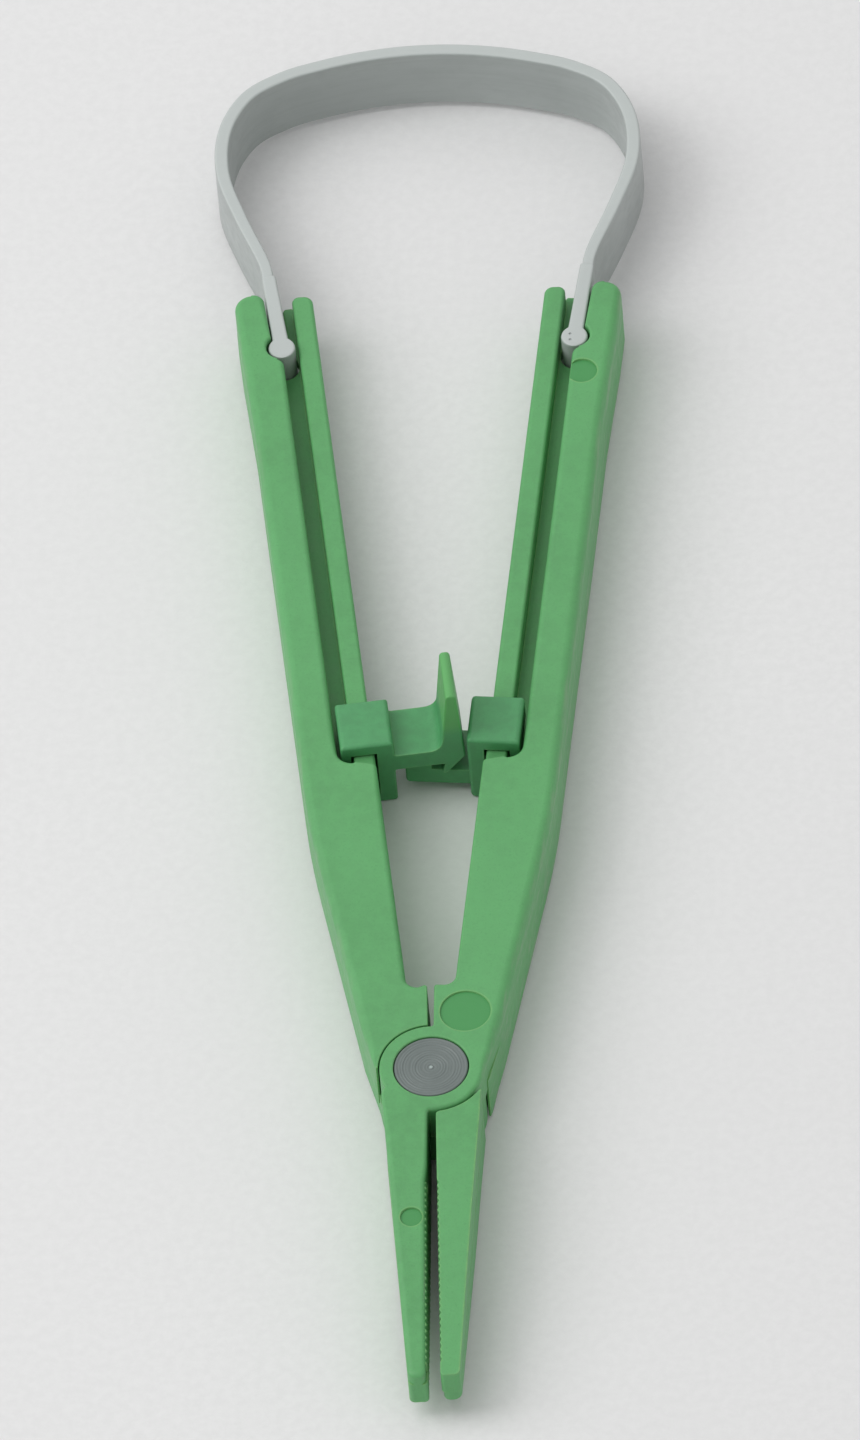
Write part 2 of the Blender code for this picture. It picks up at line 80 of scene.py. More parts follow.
STEM_FROM, STEM_STEP, STEM_PIECES = 1.72, 1.3, 9  # from the bead's centre
STEM_IN, STEM_OUT = 1.14, 1.18                    # half widths where the stem leaves the bead
STEM_NARROW_IN, STEM_NARROW_OUT = 0.012, 0.008    # and how they shrink per millimetre
HEAD_R, HEAD_TOP, HEAD_THICK = 5.27, 11.88, 1.7   # pivot heads
SINK_R, SINK_DEPTH = 5.40, 2.2                    # their seats
HOLE_R, SHANK_R, CAP_PIN_R = 3.3, 3.0, 1.4
CLIP_AT, CLIP_LENGTH, CLIP_LOW, CLIP_HIGH = 63.5, 8.5, -0.45, 12.45
CLIP_WALL_IN, CLIP_WALL_OUT = -0.85, 1.59         # wall on the rail's inner side, as w
CLIP_FLOOR, CLIP_ROOF = 1.55, 10.45               # channel that the rail runs in
LIP_IN, LIP_OUT, LIP_LOW, LIP_HIGH = 5.3, 6.75, 3.85, 8.15
CLIP_ROUND = 0.7                                  # full rounding of a clip's edges
RACK_SET_BACK = 1.0                               # rack plate behind the clip's front face

# ---- finer detail of the looks --------------------------------------------------------------
# Ejector-pin marks on the arm's upper face: (centre, radius, depth, rounding of the rim).
MARKS = (((4.9, 9.85), 3.6, 0.28, 0.10), ((-2.9, -27.0), 1.55, 0.32, 0.12),
         ((22.2, 127.4), 2.15, 0.35, 0.10))
FLASH_R, FLASH_CORNER, FLASH_BACK = 0.10, 0.8, 0.12
PIT_R, PIT_DEPTH, PIT_RIM = 0.2, 0.2, 0.08
PIT_PLACES = ((-0.6, 0.4), (-0.6, -0.7))     # from the middle of the right bead

# ---- colours and lights ---------------------------------------------------------------------
GREEN = (0.112, 0.370, 0.134)
CLIP_GREEN = (0.085, 0.330, 0.130)
STUD_GREY = (0.166, 0.198, 0.190)
STRAP_GREY = (0.40, 0.43, 0.42)
# grey-green of the handles' outer sides: partly painted sheen, partly scuffing
SIDE_SHEEN_SCUFF = (0.24, 0.39, 0.23)
SKY_STRENGTH = 0.59
LIGHT_SIZE, LIGHT_DISTANCE = 0.9, 1.4        # metres
# Soft lights around the tool: (name, heading and height in degrees, power in watts).
LIGHTS = (("left_low", 180, 42, 5.5), ("left_high", 180, 65, 4.1), ("behind", 90, 42, 1.0))


# ---- plane geometry -------------------------------------------------------------------------
def on_arm(u, w):
    """Plan point of a place on the closed right handle."""
    return (w * math.cos(TILT) + u * math.sin(TILT), u * math.cos(TILT) - w * math.sin(TILT))


def polar(radius, degrees, centre=(0.0, 0.0)):
    a = math.radians(degrees)
    return (centre[0] + radius * math.cos(a), centre[1] + radius * math.sin(a))


def arc(radius, start, end, count, centre=(0.0, 0.0)):
    """Points along an arc between two angles in degrees, both ends included."""
    return [polar(radius, start + (end - start) * i / count, centre) for i in range(count + 1)]


def tagged(points, above, below):
    """Outline points given the rounding radii of the edges above and below them."""
    return [(x, y, 0.0, above, below) for x, y in points]


def outline(corners):
    """Points (x, y, above, below) from corners (x, y, plan radius, above, below)."""
    points = []
    for i, (x, y, radius, above, below) in enumerate(corners):
        if radius == 0.0:
            points.append((x, y, above, below))
            continue
        here = Vector((x, y))
        back = (Vector(corners[i - 1][:2]) - here).normalized()
        ahead = (Vector(corners[(i + 1) % len(corners)][:2]) - here).normalized()
        half = math.acos(max(-1.0, min(1.0, back.dot(ahead)))) / 2
        centre = here + (back + ahead).normalized() * (radius / math.sin(half))
        reach = radius / math.tan(half)
        first, last = here + back * reach - centre, here + ahead * reach - centre
        start = math.atan2(first.y, first.x)
        sweep = (math.atan2(last.y, last.x) - start + math.pi) % math.tau - math.pi
        count = max(5, int(abs(sweep) / 0.13) + 1)
        for k in range(count + 1):
            a = start + sweep * k / count
            points.append((centre.x + radius * math.cos(a), centre.y + radius * math.sin(a),
                           above, below))
    kept = [p for i, p in enumerate(points)
            if math.dist(p[:2], points[i - 1][:2]) > 1e-3]
    return kept


def inward(points):
    """Mitred inward direction at each point of a closed outline, whichever way it runs."""
    flat = [Vector(p[:2]) for p in points]
    area = sum(a.x * b.y - b.x * a.y for a, b in zip(flat, flat[1:] + flat[:1]))
    turn = 1.0 if area > 0 else -1.0
    result = []
    for i, here in enumerate(flat):
        before = (here - flat[i - 1]).normalized()
        after = (flat[(i + 1) % len(flat)] - here).normalized()
        n0 = Vector((-before.y, before.x)) * turn
        n1 = Vector((-after.y, after.x)) * turn
        result.append((n0 + n1) / max(0.35, 1.0 + n0.dot(n1)))
    return flat, result


# ---- meshes ---------------------------------------------------------------------------------
def add_object(name, bm):
    bmesh.ops.recalc_face_normals(bm, faces=bm.faces)
    mesh = bpy.data.meshes.new(name)
    bm.to_mesh(mesh)
    bm.free()
    obj = bpy.data.objects.new(name, mesh)
    bpy.context.scene.collection.objects.link(obj)
    return obj


def skin(name, rings):
    """Object through rings of points in millimetres; the first and last ring become caps."""
    bm = bmesh.new()
    rows = [[bm.verts.new((x * MM, y * MM, z * MM)) for x, y, z in ring] for ring in rings]
    size = len(rows[0])
    for low, high in zip(rows, rows[1:]):
        for i in range(size):
            j = (i + 1) % size
            bm.faces.new((low[i], low[j], high[j], high[i]))
    bm.faces.new(list(reversed(rows[0])))
    bm.faces.new(rows[-1])
    return add_object(name, bm)


def rounded_prism(name, points, low, high, steps=5, inset=0.0):
    """Plan outline raised from low to high, its edges rounded as the outline says."""
    flat, ins = inward(points)
    rings = []
    for face, up, which in ((low, -1.0, 3), (high, 1.0, 2)):
        radii = [pt[which] for pt in points]
        turns = [math.pi / 2 * k / steps for k in range(steps + 1)] if max(radii) > SHARP else [0.0]
        side = [[(*(p + n * (r * (1 - math.cos(a)) + inset)),
                  face - up * (r * (1 - math.sin(a)) if len(turns) > 1 else 0.0))
                 for p, n, r in zip(flat, ins, radii)] for a in turns]
        rings += side if up > 0 else side[::-1]
    return skin(name, rings)


def flared_cutter(name, points, floor, face, flare):
    """Cutter from floor up to face and beyond; it widens at the face and rounds the rim."""
    flat, ins = inward(points)
    up = 1.0 if face > floor else -1.0
    rings = [[(*p, floor) for p in flat]]
    for k in range(FLARE_STEPS + 1):
        a = math.pi / 2 * k / FLARE_STEPS
        rings.append([(*(p - n * flare * (1 - math.cos(a))),
                       face - up * flare * (1 - math.sin(a))) for p, n in zip(flat, ins)])
    rings.append([(*(p - n * flare * 1.2), face + up * 1.0) for p, n in zip(flat, ins)])
    return skin(name, rings)


def lathe(name, profile):
    """Solid of revolution about +Z from (radius, height) pairs that start and end on the axis."""
    bm = bmesh.new()
    rows = []
    for r, z in profile:
        if r == 0.0:
            rows.append([bm.verts.new((0.0, 0.0, z * MM))])
        else:
            turns = [math.tau * i / LATHE_STEPS for i in range(LATHE_STEPS)]
            rows.append([bm.verts.new((r * MM * math.cos(a), r * MM * math.sin(a), z * MM))
                         for a in turns])
    for low, high in zip(rows, rows[1:]):
        for i in range(LATHE_STEPS):
            j = (i + 1) % LATHE_STEPS
            ring = [low[i % len(low)], low[j % len(low)], high[j % len(high)], high[i % len(high)]]
            bm.faces.new(list(dict.fromkeys(ring)))
    return add_object(name, bm)


def tube(name, path, radius):
    """Thin round bead along a path of points in millimetres, pinched to nothing at its ends."""
    rings = []
    for i, here in enumerate(path):
        before, after = Vector(path[max(i - 1, 0)]), Vector(path[min(i + 1, len(path) - 1)])
        along = (after - before).normalized()
        side = along.cross(Vector((0.31, 0.17, 0.94))).normalized()
        lift = side.cross(along)
        r = radius * (0.15 if i in (0, len(path) - 1) else 1.0)
        rings.append([tuple(Vector(here) + (side * math.cos(math.tau * k / TUBE_SIDES)
                                            + lift * math.sin(math.tau * k / TUBE_SIDES)) * r)
                      for k in range(TUBE_SIDES)])
    return skin(name, rings)


def modify(target, other, operation):
    """Queue a boolean of the target with another object, and return that object."""
    modifier = target.modifiers.new(other.name, "BOOLEAN")
    modifier.operation = operation
    modifier.object = other
    modifier.solver = "MANIFOLD"
    return other


def settle(obj, guides=()):
    """Replace the object's mesh by what its modifiers make of it, and drop the guides."""
    bpy.context.view_layer.update()
    evaluated = obj.evaluated_get(bpy.context.evaluated_depsgraph_get())
    mesh = bpy.data.meshes.new_from_object(evaluated)
    obj.modifiers.clear()
    obj.data = mesh
    for guide in guides:
        bpy.data.objects.remove(guide)
    return obj


def smooth(obj, degrees=32):
    obj.data.shade_smooth()
    obj.data.set_sharp_from_angle(angle=math.radians(degrees))
    weighted = obj.modifiers.new("even_shading", "WEIGHTED_NORMAL")
    weighted.keep_sharp = True
    weighted.weight = 80
    return settle(obj)


def reshape(obj, change):
    """Move every vertex by a function of its place in millimetres."""
    for v in obj.data.vertices:
        v.co = Vector(change(*(v.co / MM))) * MM
    obj.data.update()


# ---- the arm moulding -----------------------------------------------------------------------
def jaw_outer(y):
    """X of the upright arm's jaw on its outer side; the jaw is left of the centre line."""
    return -(JAW_OUTER_X + JAW_OUTER_SLOPE * y)


def jaw_inner(y):
    """X of the tooth tips on the jaw's inner side."""
    return -(JAW_GAP_ROOT + (JAW_GAP_TIP - JAW_GAP_ROOT) * y / JAW_TIP)


def neck(y):
    """Place on the outer side between the pivot and the elbow."""
    return (NECK_X + y * NECK_SLOPE, y)


def handle_edge(soft_above, soft_below):
    """Corners up the handle's outer side, round its end and down to the groove's closed end."""
    side = (soft_above, soft_below)
    end = tuple(min(soft, 1.15) for soft in side)
    lean = STEM_LEAN - TILT
    ahead = Vector((math.cos(lean), math.sin(lean)))
    across = Vector((-math.sin(lean), math.cos(lean)))
    bead = Vector((BEAD_U, BEAD_W))
    mouth = bead + across * SLOT_HALF + ahead * ((HANDLE_END - BEAD_U) / math.cos(lean))
    start = math.degrees(math.atan2(SLOT_HALF, math.sqrt(SOCKET_R ** 2 - SLOT_HALF ** 2)))
    fillet = 1.5                # between the socket and the groove's side
    fillet_u = BEAD_U - math.sqrt((SOCKET_R + fillet) ** 2 - fillet ** 2)
    stop = 180 - math.degrees(math.asin(fillet / (SOCKET_R + fillet)))
    first = math.degrees(lean) + start
    corners = [
        (*ELBOW, 150.0, *side),
        (*on_arm(100, BEAM_OUT), 0.0, *side),
        (*on_arm(122, BEAM_OUT), 90.0, *side),
        (*on_arm(137, BEAM_OUT + BEAM_SWELL), 30.0, *side),
        (*on_arm(HANDLE_END, BEAM_OUT + BEAM_SWELL), 2.5, *end),
        (*on_arm(HANDLE_END, mouth.y), 1.65, 0.9, 0.9)]
    corners += [(*on_arm(*p), 0.0, 0.4, 0.4)
                for p in arc(SOCKET_R, first, stop, 14, (BEAD_U, BEAD_W))]
    corners += [(*on_arm(*p), 0.0, 0.75, 0.75)
                for p in arc(fillet, stop - 180, -90, 7, (fillet_u, BEAM_IN + fillet))[1:]]
    width = BEAM_IN - RAIL_OUT
    corners += [(*on_arm(GROOVE_START + width + 3, BEAM_IN), 0.0, 0.9, 0.9)]
    corners += [(*on_arm(u, w), 0.0, 0.8, 0.7)
                for w, u in arc(width, 0, -84, 8, (RAIL_OUT, GROOVE_START + width))]
    return corners


def window_edge(above, below):
    """Corners of the step below the rail, down the window's side to the slot's foot."""
    window_x = RAIL_IN / math.cos(TILT) + WINDOW_FLOOR * math.tan(TILT)
    return [
        (*on_arm(GROOVE_START - 0.05, RAIL_OUT - 0.2), 0.0, 0.3, 0.3),
        (*on_arm(GROOVE_START - 0.6, RAIL_IN + 0.8), 0.0, 0.3, 0.3),
        (*on_arm(GROOVE_START - 0.8, RAIL_IN), 0.7, 0.3, 0.6),
        (*on_arm(GROOVE_START - 5, RAIL_IN), 0.0, above, below),
        (window_x + 0.5, WINDOW_FLOOR + 5, 0.0, above, below),
        (window_x, WINDOW_FLOOR, 1.7, above, below),
        (SLOT_TOP, WINDOW_FLOOR, 0.4, 0.2, 0.2)]


def toothed(above, below):
    """Corners up the jaw's serrated inner side."""
    corners = []
    for i in range(TOOTH_COUNT):
        y = TEETH_FROM + i * TOOTH
        for share, depth in TOOTH_SHAPE:
            corners.append((jaw_inner(y) - TOOTH_DEPTH * depth, y + TOOTH * share, 0.0,
                            above, below))
    return corners + [(jaw_inner(TEETH_END), TEETH_END, 0.0, above, below)]


def jaw_tip(outer_round, rim, above, below):
    """Corners down the jaw's outer side and round its tip."""
    return [
        (jaw_outer(-12), -12, 0.0, above, below),
        (jaw_outer(JAW_TIP), JAW_TIP, outer_round, above, below),
        (jaw_inner(JAW_TIP) - TOOTH_DEPTH * rim, JAW_TIP, max(0.7, above + 0.05), above, below)]


def upper_half():
    """Outline of the half that carries the lap disc: handle, disc and jaw in one."""
    corners = handle_edge(1.5, SHARP) + window_edge(0.35, SHARP)
    corners += tagged([polar(DISC_R + 0.25, 87.2)], 0.2, SHARP)
    corners += tagged(arc(DISC_R, 89, 207, 42), 0.25, SHARP)
    corners += [(jaw_outer(-4.5), -4.5, 0.4, 0.35, SHARP)]
    corners += jaw_tip(1.3, 1.0, 0.9, SHARP)
    corners += [(jaw_inner(y) - TOOTH_DEPTH, y, 0.0, 0.65, SHARP)
                for y in (TEETH_FROM, TEETH_END)]
    corners += [(jaw_inner(TEETH_END + 3), TEETH_END + 3, 0.0, 0.6, SHARP),
                (-JAW_GAP_ROOT, -9.4, 0.0, 0.45, SHARP),
                (-JAW_GAP_ROOT + 0.05, -8.3, 0.0, 0.5, SHARP)]
    corners += tagged(arc(DISC_JAW_R, -92, -48, 16), 0.65, SHARP)
    corners += tagged([polar(r, a) for r, a in ((7.72, -38), (7.62, -28), (7.54, -18), (7.55, -9))],
                      0.7, SHARP)
    corners += tagged([(7.68, 0.0), (7.95, 1.2), (8.35, 2.6)], 0.9, SHARP)
    corners += tagged([(8.95, 4.6)], 1.2, SHARP)
    corners += tagged([neck(8.0)], 1.5, SHARP)
    return outline(corners)


def lower_handle():
    """Outline of the handle's other half, hollowed for the other arm's disc."""
    corners = handle_edge(SHARP, 1.4) + window_edge(SHARP, 0.9)
    corners += tagged([(SLOT_FOOT, RECESS_R)], SHARP, 0.2)
    corners += tagged(arc(RECESS_R, 85, 4, 27), SHARP, 0.15)
    corners += tagged([polar(RECESS_R + 0.03, 1.0)], SHARP, 0.08)
    sliver = (((7.84, 0.02), 0.12), ((8.03, 0.4), 0.2), ((8.26, 1.2), 0.35), ((8.55, 2.4), 0.6),
              ((8.98, 4.2), 1.0), (neck(8.0), 1.4))
    corners += [(*place, 0.0, SHARP, soft) for place, soft in sliver]
    return outline(corners)


def lower_jaw():
    """Outline of the jaw's other half, hollowed beside the other arm's disc."""
    corners = [(jaw_outer(-4.42), -4.42, 0.0, SHARP, 0.08)]
    corners += jaw_tip(0.8, 0.0, SHARP, 0.14)
    corners += toothed(SHARP, 0.1)
    corners += [(-JAW_GAP_ROOT, -JAW_HOLLOW_R - 0.1, 0.5, SHARP, 0.2)]
    corners += tagged(arc(JAW_HOLLOW_R, -98, -144.5, 24), SHARP, 0.14)
    return outline(corners)


def jaw_teeth():
    """Outline of the bar of teeth that stands out of the jaw's soft-edged inner side."""
    back = 1.4                  # depth of the bar inside the jaw
    return outline([(jaw_inner(TEETH_END) - back, TEETH_END, 0.0, SHARP, SHARP),
                    (jaw_inner(TEETH_FROM) - back, TEETH_FROM, 0.0, SHARP, SHARP)]
                   + toothed(0.22, SHARP))


def rail_outline():
    return outline([
        (*on_arm(50, RAIL_IN), 0.0, 0.55, 0.55), (*on_arm(50, RAIL_OUT), 0.0, 0.4, 0.4),
        (*on_arm(HANDLE_END, RAIL_OUT), 1.1, 0.55, 0.55),
        (*on_arm(HANDLE_END, RAIL_IN), 1.4, 0.65, 0.65)])


def web_outline():
    """Thin plate between rail and beam, cut back round the strap's socket and slot."""
    lean = STEM_LEAN - TILT
    side = lambda u: BEAD_W + (u - BEAD_U) * math.tan(lean) - SLOT_HALF
    corners = [(*on_arm(54, RAIL_OUT - 0.5), 0.0, SHARP, SHARP),
               (*on_arm(146.0, RAIL_OUT - 0.5), 0.0, SHARP, SHARP),
               (*on_arm(WEB_END, RAIL_OUT), 0.0, 0.3, 0.3),
               (*on_arm(WEB_END, side(WEB_END)), 0.6, 0.3, 0.3),
               (*on_arm(137.9, side(137.9)), 0.0, 0.15, 0.15)]
    corners += [(*on_arm(u, w), 0.0, 0.15, 0.15)
                for u, w in arc(SOCKET_R, -42, -178, 16, (BEAD_U, BEAD_W))]
    corners += [(*on_arm(u, BEAM_IN + 0.5), 0.0, SHARP, SHARP) for u in (133.5, 54)]
    return outline(corners)


def circle(radius, centre=(0.0, 0.0), count=72):
    return [(*p, 0.0, 0.0) for p in arc(radius, 0, 360 * (count - 1) / count, count - 1, centre)]


def flash_path():
    """Line of moulding flash along the jaw's lower outer edge and across its tip."""
    tip, height, pieces = JAW_TIP + FLASH_BACK, 0.06, 12
    centre = (jaw_outer(JAW_TIP) + FLASH_CORNER, tip + FLASH_CORNER)
    start = (jaw_outer(-5.4), -5.4)
    straight = [(start[0] + (centre[0] - FLASH_CORNER - start[0]) * i / pieces,
                 start[1] + (centre[1] - start[1]) * i / pieces) for i in range(pieces)]
    bend = arc(FLASH_CORNER, 180, 270, 5, centre)
    return [(x, y, height) for x, y in straight + bend + [(jaw_inner(JAW_TIP) - 0.6, tip)]]


def taper(x, y, z):
    """Thin the jaw evenly from both faces towards its tip."""
    share = max(0.0, (TAPER_FROM - y) / (TAPER_FROM - JAW_TIP))
    return x, y, MID + (z - MID) * (1 - share * TIP_DROP / MID)


def arm_mesh():
    """One arm: two halves, teeth, rail and web joined, then pivot hole and marks cut."""
    arm = rounded_prism("arm_shell", upper_half(), MID + GAP / 2, THICK, steps=6)
    sunk = THICK - SINK_DEPTH
    added = [
        rounded_prism("lower_handle", lower_handle(), 0.0, 8.0, 6, TUCK),
        rounded_prism("lower_jaw", lower_jaw(), 0.0, 8.0, 4, TUCK),
        rounded_prism("jaw_teeth", jaw_teeth(), 5.0, THICK - 0.5, 4),
        rounded_prism("rail", rail_outline(), RAIL_RECESS, THICK - RAIL_RECESS, 5, 2 * TUCK),
        rounded_prism("web", web_outline(), WEB_LOW, WEB_HIGH, 2)]
    cut = [flared_cutter("sink", circle(SINK_R), sunk, THICK, 0.22),
           flared_cutter("hole", circle(HOLE_R), -1.0, sunk, 0.1)]
    cut += [flared_cutter("mark", circle(radius, centre), THICK - depth, THICK, rim)
            for centre, radius, depth, rim in MARKS]
    for part in added:
        modify(arm, part, "UNION")
    for part in cut:
        modify(arm, part, "DIFFERENCE")
    settle(arm, added + cut)
    add_flash(arm)
    reshape(arm, taper)
    return arm


def add_flash(arm):
    """Join the flash line to the arm's mesh and cut a row of vertices where the taper starts."""
    flash = tube("flash", flash_path(), FLASH_R)
    bm = bmesh.new()
    bm.from_mesh(arm.data)
    bm.from_mesh(flash.data)
    bpy.data.objects.remove(flash)
    bmesh.ops.bisect_plane(bm, geom=list(bm.verts) + list(bm.edges) + list(bm.faces),
                           plane_co=(0, TAPER_FROM * MM, 0), plane_no=(0, 1, 0), dist=1e-7)
    bm.to_mesh(arm.data)
    bm.free()


def make_arms():
    """Two arms from one mesh; the left one is turned over."""
    right = arm_mesh()
    right.name = "arm_right"
    smooth(right)
    left = bpy.data.objects.new("arm_left", right.data)
    bpy.context.scene.collection.objects.link(left)
    left.matrix_world = Matrix.Translation((0, 0, THICK * MM)) @ Matrix.Rotation(math.pi, 4, "Y")
    return right, left


# ---- the pivot ------------------------------------------------------------------------------
def head_profile(face, into):
    """Profile of a round head from its axis to its rim, with a nub and fine turned rings."""
    nub = ((0.0, 0.01), (0.2, 0.03), (0.29, 0.14))
    profile = [(r, face - into * drop) for r, drop in nub]
    hollow, base, nub_r, spacing = 0.13, 0.02, 0.3, 0.108
    for i in range(1, 44):
        r = nub_r + i * spacing
        dish = hollow * (1 - (r / HEAD_R) ** 2)
        ripple = 0.026 * math.sin(i * 1.9) + 0.022 * math.sin(i * 0.83)
        profile.append((r, face - into * (dish + base + ripple)))
    rim = 0.22
    for k in range(5):
        a = math.radians(90 - 22.5 * k)
        profile.append((HEAD_R - rim + rim * math.cos(a), face - into * (rim - rim * math.sin(a))))
    return profile


def make_pivot():
    """Stud with a bore in its shank, and the cap whose pin goes into that bore."""
    under, shank_end, bore_r, bore_top, pin_top = HEAD_TOP - HEAD_THICK, 2.0, 1.7, 8.5, 8.0
    top = head_profile(HEAD_TOP, 1.0)
    shank = [(0.0, bore_top), (bore_r, bore_top), (bore_r, shank_end), (SHANK_R, shank_end),
             (SHANK_R, under), (HEAD_R, under)]
    stud = lathe("stud_head", top + shank[::-1])
    cap = lathe("stud_cap", head_profile(0.0, -1.0) + [
        (HEAD_R, HEAD_THICK), (CAP_PIN_R, HEAD_THICK), (CAP_PIN_R, pin_top), (0.0, pin_top)])
    return smooth(stud, 50), smooth(cap, 50)


# ---- the strap ------------------------------------------------------------------------------
STRAP_POINTS = [(22.95, 148.1), (23.9, 151.6), (27.1, 159.6), (29.65, 167.9), (29.35, 175.8),
                (26.2, 182.2), (21.0, 185.7), (15.7, 187.5), (10.5, 188.75), (5.2, 189.5)]
CROWN = (0.0, 189.75)
CROWN_AHEAD = (-5.2, 189.5)     # next point of the other half, for a smooth top
# Where the stem steps down to the bow: (distance from the bead, inner half, outer half, drop).
STEM_LEDGE = ((13.55, 0.95, 1.0, 0.0), (13.75, 0.85, 1.0, 0.12), (13.9, 0.62, 0.98, 0.16))
PER_SPAN, GROW_OVER = 7, 22     # stations between two points, and stations until full size


def spline(points, per_span):
    """Catmull-Rom curve through the points, ends included."""
    padded = [points[0]] + points + [points[-1]]
    path = []
    for p0, p1, p2, p3 in zip(padded, padded[1:], padded[2:], padded[3:]):
        for i in range(per_span):
            t = i / per_span
            path.append(tuple(
                0.5 * (2 * b + (c - a) * t + (2 * a - 5 * b + 4 * c - d) * t * t
                       + (3 * b - a - 3 * c + d) * t ** 3)
                for a, b, c, d in zip(p0, p1, p2, p3)))
    return path + [points[-1]]


def strap_stations():
    """Right half of the strap from the bead to the crown: (x, y, inner half, outer half, drop)."""
    cx, cy = on_arm(BEAD_U, BEAD_W)
    ahead = (math.sin(STEM_LEAN), math.cos(STEM_LEAN))
    stations = []

    def on_stem(s, inner, outer, drop):
        stations.append((cx + ahead[0] * s, cy + ahead[1] * s, inner, outer, drop))

    for k in range(13):
        s = -BEAD_R * math.cos(math.radians(k * 11.9 + 2))
        half = math.sqrt(BEAD_R ** 2 - s * s)
        on_stem(s, half, half, 0.0)
    on_stem(STEM_FROM, STEM_IN, STEM_OUT, 0.0)
    for k in range(1, STEM_PIECES + 1):
        s = STEM_FROM + k * STEM_STEP
        on_stem(s, STEM_IN - STEM_NARROW_IN * s, STEM_OUT - STEM_NARROW_OUT * s, 0.0)
    for station in STEM_LEDGE:
        on_stem(*station)
    path = spline(STRAP_POINTS + [CROWN, CROWN_AHEAD], PER_SPAN)[:-PER_SPAN]
    for i, (x, y) in enumerate(path[1:]):
        grow = min(1.0, i / GROW_OVER)      # from the ledge's section to the bow's own
        stations.append((x, y, 0.66 + 0.34 * grow, 0.97 + 0.03 * grow, 0.16 - 0.1 * grow))
    return stations


def make_strap():
    """Soft-edged band through the stations of both halves, with gate pits on its right bead."""
    right = strap_stations()
    left = [(-x, y, inner, outer, drop) for x, y, inner, outer, drop in reversed(right[:-1])]
    stations = right + left
    rings = []
    for i, (x, y, inner, outer, drop) in enumerate(stations):
        before, after = stations[max(i - 1, 0)], stations[min(i + 1, len(stations) - 1)]
        along = Vector((after[0] - before[0], after[1] - before[1])).normalized()
        out = Vector((along.y, -along.x))
        low, high = STRAP_LOW + drop, STRAP_HIGH - drop
        soft = min(0.38, 0.45 * min(inner, outer))
        ring = []
        for cx, cz, start in ((outer - soft, high - soft, 0), (-inner + soft, high - soft, 90),
                              (-inner + soft, low + soft, 180), (outer - soft, low + soft, 270)):
            for k in range(5):
                a = math.radians(start + k * 22.5)
                across, z = cx + soft * math.cos(a), cz + soft * math.sin(a)
                ring.append((x + out.x * across, y + out.y * across, z))
        rings.append(ring)
    strap = skin("strap", rings)
    cx, cy = on_arm(BEAD_U, BEAD_W)
    pits = [flared_cutter("pit", circle(PIT_R, (cx + dx, cy + dy), 16), STRAP_HIGH - PIT_DEPTH,
                          STRAP_HIGH, PIT_RIM) for dx, dy in PIT_PLACES]
    settle(strap, [modify(strap, pit, "DIFFERENCE") for pit in pits])
    return smooth(strap, 40)


# ---- the latch clips ------------------------------------------------------------------------
def clip_profile(face):
    """Section of a clip (w, z, weight); face lists the corners on its inner side, from the top."""
    return [
        (CLIP_WALL_IN, CLIP_LOW, 1.0), (LIP_OUT, CLIP_LOW, 1.0), (LIP_OUT, LIP_LOW, 0.5),
        (LIP_IN, LIP_LOW, 0.3), (LIP_IN, CLIP_FLOOR, 0.2), (CLIP_WALL_OUT, CLIP_FLOOR, 0.2),
        (CLIP_WALL_OUT, CLIP_ROOF, 0.2), (LIP_IN, CLIP_ROOF, 0.2), (LIP_IN, LIP_HIGH, 0.3),
        (LIP_OUT, LIP_HIGH, 0.5), (LIP_OUT, CLIP_HIGH, 1.0), (CLIP_WALL_IN, CLIP_HIGH, 1.0)] + face


def clip_block(name, profile, mirror, start, end):
    """Profile extruded along the rail, with every edge rounded by its weight."""
    sign = -1.0 if mirror else 1.0
    bm = bmesh.new()
    weight = bm.edges.layers.float.new("bevel_weight_edge")
    near = [bm.verts.new((sign * w * MM, start * MM, z * MM)) for w, z, _ in profile]
    far = [bm.verts.new((sign * w * MM, end * MM, z * MM)) for w, z, _ in profile]
    size = len(profile)
    for i in range(size):
        j = (i + 1) % size
        bm.faces.new((near[i], near[j], far[j], far[i]))
    bm.faces.new(near)
    bm.faces.new(list(reversed(far)))
    bm.verts.ensure_lookup_table()
    bm.edges.ensure_lookup_table()
    for i in range(size):
        j = (i + 1) % size
        bm.edges.get((near[i], far[i]))[weight] = profile[i][2]
        share = 0.5 * min(1.0, max(profile[i][2], profile[j][2], 0.12))
        if profile[i][2] >= 1.0 and profile[j][2] >= 1.0:
            share = 0.8
        bm.edges.get((near[i], near[j]))[weight] = share
        bm.edges.get((far[i], far[j]))[weight] = share
    obj = add_object(name, bm)
    bevel = obj.modifiers.new("edges", "BEVEL")
    bevel.limit_method = "WEIGHT"
    bevel.width = CLIP_ROUND * MM
    bevel.segments = 5
    bevel.use_clamp_overlap = False
    return settle(obj)


